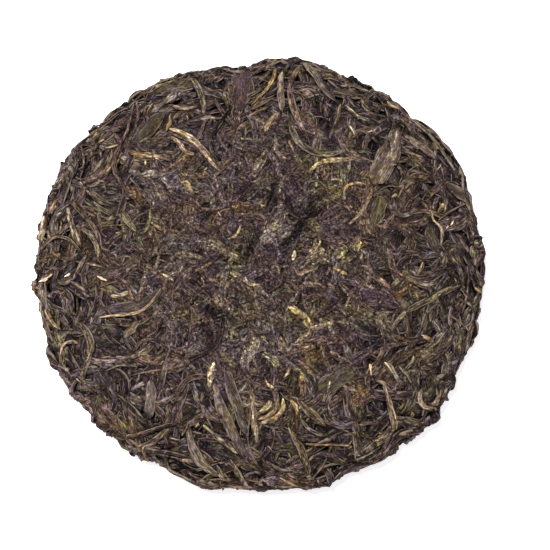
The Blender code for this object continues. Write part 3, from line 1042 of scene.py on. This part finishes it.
def partly(effect, share):  # an effect at a share of its strength
    return 1 + (effect - 1) * share


def leafMaterial(name, **changes):
    look = {**leafFinish, **changes}
    finish = Finish(name)
    grain = finish.attribute("grain", 1)  # millimetres across and along the leaf, and a number of its own
    tint = finish.attribute("leafTint", 0)
    crushed = finish.attribute("leafTint", 3)  # 1 in the middle, where the press has crumbled the leaves
    edge = finish.attribute("fromEdge", 2)  # millimetres
    veins, fibres, blotches, hues, crumbs, flecks = (
        finish.noise(finish.scaled(grain, tight), 1.0, detail, rough)
        for tight, detail, rough in leafPatterns.values()
    )
    place = finish.node("ShaderNodeTexCoord", None, output=3)
    grit = finish.noise(place, 880, 4.0, 0.78)  # what the press leaves of the leaves in the middle
    patches = finish.noise(place, 150, 3.0, 0.6)
    middle = finish.spread(crushed, 0.0, 1.0)
    lively = finish.spread(crushed, -1.0, 0.0, 0.25, 1.0) - middle * 0.4

    def tone(key, pattern, window):  # from dark to light over the middle of a pattern's range
        return finish.spread(pattern, 0.5 - window, 0.5 + window, *look[key])

    dark = tone("streak", veins, 0.10) * tone("fibre", fibres, 0.12) * tone("blotch", blotches, 0.14)
    dark = partly(dark, lively) * partly(tone("crumb", crumbs, 0.10), 0.45 + crushed * 0.2)
    dark = dark * partly(tone("grit", grit, 0.12) * tone("patch", patches, 0.12), middle)
    # painted shade: a dark line just inside each leaf's edge, as where a gap lies in shadow
    rim = finish.spread(edge + flecks * 0.6, 0.34, 0.90, look["rim"], 1.0)
    dark = dark * partly(rim, 1 - middle * 0.6)
    shade = finish.colour(dark, dark**1.14, dark**1.12)  # what is dark is redder as well
    base = finish.blend(1.0, tint, shade, "MULTIPLY")

    hues = hues + (patches - hues) * middle * 0.75
    greenShare = finish.spread(hues, 0.51, 0.59) * look["green"] * lively
    plumShare = finish.spread(hues, 0.47, 0.38) * look["plum"] * lively
    green = finish.blend(greenShare, leafHues["plain"], leafHues["green"])
    hue = finish.blend(plumShare, green, leafHues["plum"])
    # painted highlight: a pale band just inside the dark line round a leaf
    beside = finish.spread(edge, 0.25, 0.50) * finish.spread(edge, 0.95, 0.60)
    wornShare = beside * finish.spread(veins, 0.42, 0.56) * look["worn"] * (1 - middle * 0.7)
    worn = finish.blend(wornShare, finish.blend(1.0, base, hue, "MULTIPLY"), leafHues["worn"])
    fleckShare = finish.spread(flecks, 0.60, 0.68) * look["fleck"]
    finish.feed("Base Color", finish.blend(fleckShare, worn, leafHues["fleck"]))
    low, high = look["roughness"]
    finish.feed("Roughness", low + (high - low) * finish.spread(blotches, 0.25, 0.75))
    finish.fix({"Specular IOR Level": 0.08})
    relief = veins * 0.6 + fibres * 0.4 + crumbs * 0.5 + flecks * 0.2 + grit * middle * 0.5
    finish.bump(relief, *look["bump"])
    return finish.material


def coreMaterial():
    finish = Finish("pressed_tea_and_gap_shade")
    place = finish.node("ShaderNodeTexCoord", None, output=3)
    crumbs = finish.noise(place, 900, 4.0, 0.7)
    patches = finish.noise(place, 120, 3.0, 0.6)
    # near black: the tea's own dark colour, made darker still as painted shade in the gaps
    stops = [
        (0.30, (0.006, 0.004, 0.003, 1)),
        (0.55, (0.020, 0.014, 0.011, 1)),
        (0.75, (0.060, 0.045, 0.035, 1)),
    ]
    teaAndShade = finish.node("ShaderNodeValToRGB", {"stops": stops}, [crumbs * 0.7 + patches * 0.3])
    finish.feed("Base Color", teaAndShade)
    finish.fix({"Roughness": 0.9, "Specular IOR Level": 0.1})
    finish.bump(crumbs, 0.9, 0.0008)
    return finish.material


def addPiece(name, points, faces, material):
    mesh = bpy.data.meshes.new(name)
    mesh.from_pydata((points * metre).tolist(), [], faces)
    mesh.materials.append(material)
    mesh.shade_smooth()
    piece = bpy.data.objects.new(name, mesh)
    bpy.context.scene.collection.objects.link(piece)
    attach(piece, "root")
    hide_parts("tea_cake")
    return piece


def withBeneath(field, share=1.0):  # adds the point beneath to each ring
    return np.concatenate([field, field[:, :1] * share], axis=1)


def leafPoints(leaf):  # a leaf's rings: its top from edge to edge, and one point beneath the middle
    side, x, y = leaf["side"], leaf["px"], leaf["py"]
    top = pressed(side, x, y, leaf["top"])
    middle = [len(leaf["grid"]["v"]) // 2]
    share, deeper = leafForm["beneath"]
    beneath = top[:, middle] - share * leaf["thick"] - deeper
    pairs = (x, x[:, middle]), (y, y[:, middle]), (top, beneath)
    return inSpace(side, *(np.concatenate(pair, axis=1) for pair in pairs)).reshape(-1, 3)


def leafFaces(count, stations, ring):  # one leaf's quads and end caps, for each of the leaves
    faces = []
    for leaf in range(count):
        start = leaf * stations * ring
        for m in range(stations - 1):
            a = start + m * ring
            for k in range(ring):
                n = (k + 1) % ring
                faces.append((a + k, a + n, a + ring + n, a + ring + k))
        last = start + (stations - 1) * ring
        faces.append(tuple(range(start + ring - 1, start - 1, -1)))
        faces.append(tuple(range(last, last + ring)))
    return faces


def leafCells(piece, count, stations, ring):  # each leaf gets its own strip of the baked picture
    columns = max(1, int(math.sqrt(count / 3.0)))
    rows = math.ceil(count / columns)
    margin, inset = 0.06, 0.004
    u, v = [], []

    def place(leaf, along, across):
        u.append((leaf % columns + margin / 3 + (1 - margin / 1.5) * along) / columns)
        v.append((leaf // columns + margin + (1 - 2 * margin) * across / ring) / rows)

    for leaf in range(count):
        for m in range(stations - 1):
            for k in range(ring):
                for du, dv in ((m, k), (m, k + 1), (m + 1, k + 1), (m + 1, k)):
                    place(leaf, du / (stations - 1), dv)
        for k in reversed(range(ring)):
            place(leaf, inset, k + 0.5)
        for k in range(ring):
            place(leaf, 1 - inset, k + 0.5)
    layer = piece.data.uv_layers.new(name="OFBake")
    layer.data.foreach_set("uv", np.stack([u, v], axis=1).astype(np.float32).ravel())


# Painted shade between the leaves: over what depth in millimetres, how sharply, and the least light
shadows = {
    "deep": (1.1, 1.3, 0.05),
    "under": (0.41, 1.4, 0.08),
    "furrow": 1.1,
    "hold": ((35, 78), (0.35, 1.0)),  # the press has closed the gaps in the middle
    "beneath": 0.5,
}
crushedZone = {"to": 45, "over": 35}  # millimetres from the crown


def lightAt(depth, kind):
    reach, power, least = shadows[kind]
    return least + (1 - least) * np.exp(-((np.maximum(depth, 0) / reach) ** power))


def buried(leaf):  # painted shade of a leaf's points deep in the pile, close under another leaf and in a furrow
    side, x, y = leaf["side"], leaf["px"], leaf["py"]
    deep = readMap("even", side, x, y) - leaf["top"] + pressing["stand"]
    under = readMap("near", side, x, y) - leaf["top"]
    light = lightAt(deep, "deep") * lightAt(under, "under")
    hold = np.interp(np.hypot(x, y), *shadows["hold"])
    return (1 - hold * (1 - light)) * np.exp(-shadows["furrow"] * readMap("furrow", side, x, y))


def leafGrain(leaf):  # millimetres across and along the leaf, and a number of its own
    beneath = 0 * leaf["wide"][:, :1] + leafForm["beneathAcross"] * leaf["halfWidth"]
    across = np.concatenate([leaf["wide"], beneath], axis=1)
    along = walked(leafRun(leaf)[0])[:, None] + 0 * across
    return np.stack([across, along, 0 * across + leaf["seed"]], axis=-1).reshape(-1, 3)


def leafColour(leaf):
    fade = leafFinish["fade"] * chanceOf(leaf, 7.3) * (0.5 + 0.5 * leaf["grid"]["u"]) ** 2
    # painted shade between the leaves, times the leaf's own fade; the point beneath a leaf is painted at
    # half of it
    light = withBeneath(buried(leaf) * (1 - fade)[:, None], shadows["beneath"]).reshape(-1, 1)
    patch = withBeneath(readMap("patch", leaf["side"], leaf["px"], leaf["py"])).reshape(-1, 1)
    away = math.hypot(leaf["x"], leaf["y"])
    plain = leaf["tint"] * tintGain * light * np.interp(away, *shadeByPlace)
    crushed = leaf["crushed"] or 1 - min(max((away - crushedZone["to"]) / crushedZone["over"], 0), 1)
    return np.concatenate([turnHue(plain, patch), 0 * light + crushed], axis=1)


def leafEdge(leaf):  # millimetres in from the edge
    inward = leaf["halfWidth"] * (1 - np.abs(leaf["grid"]["v"]))
    return np.tile([*inward, leafForm["beneathEdge"]], (len(leaf["grid"]["u"]), 1)).ravel()


def addLeaves(name, leaves, material):
    stations, ring = len(leaves[0]["grid"]["u"]), len(leaves[0]["grid"]["v"]) + 1
    points = np.concatenate([leafPoints(leaf) for leaf in leaves])
    piece = addPiece(name, points, leafFaces(len(leaves), stations, ring), material)
    for label, kind, field, values in (
        ("grain", "FLOAT_VECTOR", "vector", leafGrain),
        ("leafTint", "FLOAT_COLOR", "color", leafColour),
        ("fromEdge", "FLOAT", "value", leafEdge),
    ):
        made = piece.data.attributes.new(label, kind, "POINT")
        written = np.concatenate([values(leaf) for leaf in leaves])
        made.data.foreach_set(field, written.astype(np.float32).ravel())
    leafCells(piece, len(leaves), stations, ring)
    triangles = len(leaves) * ((stations - 1) * ring * 2 + 2 * ring - 4)
    print(name, len(leaves), "leaves", triangles, "triangles")


# Buds and stems are plainer than leaves
quiet = {
    "streak": (0.50, 1.38), "crumb": (0.55, 1.38), "blotch": (0.55, 1.35),
    "plum": 0.3, "green": 0.3, "worn": 0.2,
}
materials = {
    "twist": leafMaterial("dark_rolled_leaf"),
    "brown": leafMaterial("brown_leaf"),
    "olive": leafMaterial("olive_leaf", green=0.35, plum=0.6),
    "blade": leafMaterial("broad_flat_leaf", blotch=(0.62, 1.38), streak=(0.6, 1.4), fleck=0.35, plum=0.5),
    "bud": leafMaterial("pale_downy_bud", **quiet, roughness=(0.6, 0.85)),
    "stem": leafMaterial("leaf_stem", **quiet, rim=0.4),
    "shred": leafMaterial("leaf_shreds", streak=(0.7, 1.3), rim=0.4, worn=0.2),
}
seen = [leaf for leaf in allLeaves if showing(leaf) > bedding["leastShown"]]
print("leaves that show", len(seen))
for kindName, kind in leafKinds.items():
    for side, word in (("face", "face"), ("base", "underside")):
        group = [leaf for leaf in seen if leaf["kind"] == kindName and leaf["side"] == side]
        if group:
            addLeaves(f"{word}_{kind['piece']}", group, materials[kindName])


# The core's points, and how far under the skin they lie in millimetres
coreShape = {"sectors": 220, "rings": 110, "low": -0.7, "lumps": 0.7, "lowest": -3.5, "pole": 0.002}


def makeCore():  # the pressed tea that shows between the leaves, near black: its own dark colour and painted shade in the gaps
    sectors, rings = coreShape["sectors"], coreShape["rings"]
    angle = np.arange(sectors) * 2 * np.pi / sectors
    points, faces = [], []
    for side in ("face", "base"):
        edge = skin["rimS"] if side == "face" else skinLength - skin["rimS"]
        start = len(points) * sectors
        for ring in range(rings + 1):
            away = edge * max(ring / rings, coreShape["pole"])
            x, y = away * np.cos(angle), away * np.sin(angle)
            high = pressed(side, x, y, coreShape["low"] + coreShape["lumps"] * draw.uniform(0, 1, sectors))
            points.append(inSpace(side, x, y, np.maximum(high, coreShape["lowest"])))
        for ring in range(rings):
            a, b = start + ring * sectors, start + (ring + 1) * sectors
            for k in range(sectors):
                n = (k + 1) % sectors
                faces.append((a + k, b + k, b + n, a + n))
        faces.append(tuple(range(start, start + sectors)))
    addPiece("pressed_core", np.concatenate(points), faces, coreMaterial())


makeCore()
print("core made")


# The white paper and the light
studio = {
    "sky": 0.29,
    "key": 25.5,
    "keySize": 0.38,
    "keyPlace": (-0.30, 0.10, 1.22),
    "paperSize": 6,
    "paper": {
        "Base Color": (0.9, 0.9, 0.9, 1),
        "Roughness": 0.9,
        "Emission Color": (0.99, 0.965, 1, 1),
        "Emission Strength": 0.75,
    },
}


def makeFloor():
    bpy.ops.mesh.primitive_plane_add(size=studio["paperSize"])
    floor = bpy.context.object
    floor.name = "floor"
    finish = Finish("white_paper")
    finish.fix(studio["paper"])
    floor.data.materials.append(finish.material)


def makeLight():
    data = bpy.data.lights.new("key_softbox", "AREA")
    data.shape = "DISK"
    data.size, data.energy = studio["keySize"], studio["key"]
    light = bpy.data.objects.new("key_softbox", data)
    bpy.context.scene.collection.objects.link(light)
    light.location = studio["keyPlace"]
    light.rotation_mode = "QUATERNION"
    light.rotation_quaternion = (-Vector(studio["keyPlace"])).to_track_quat("-Z", "Y")


def makeRoom():
    world = bpy.data.worlds.new("soft_white_room")
    world.use_nodes = True
    sky = world.node_tree.nodes["Background"]
    sky.inputs["Color"].default_value = (1, 1, 1, 1)
    sky.inputs["Strength"].default_value = studio["sky"]
    bpy.context.scene.world = world
    bpy.context.scene.view_settings.view_transform = "Standard"


makeFloor()
makeLight()
makeRoom()
print("studio made")
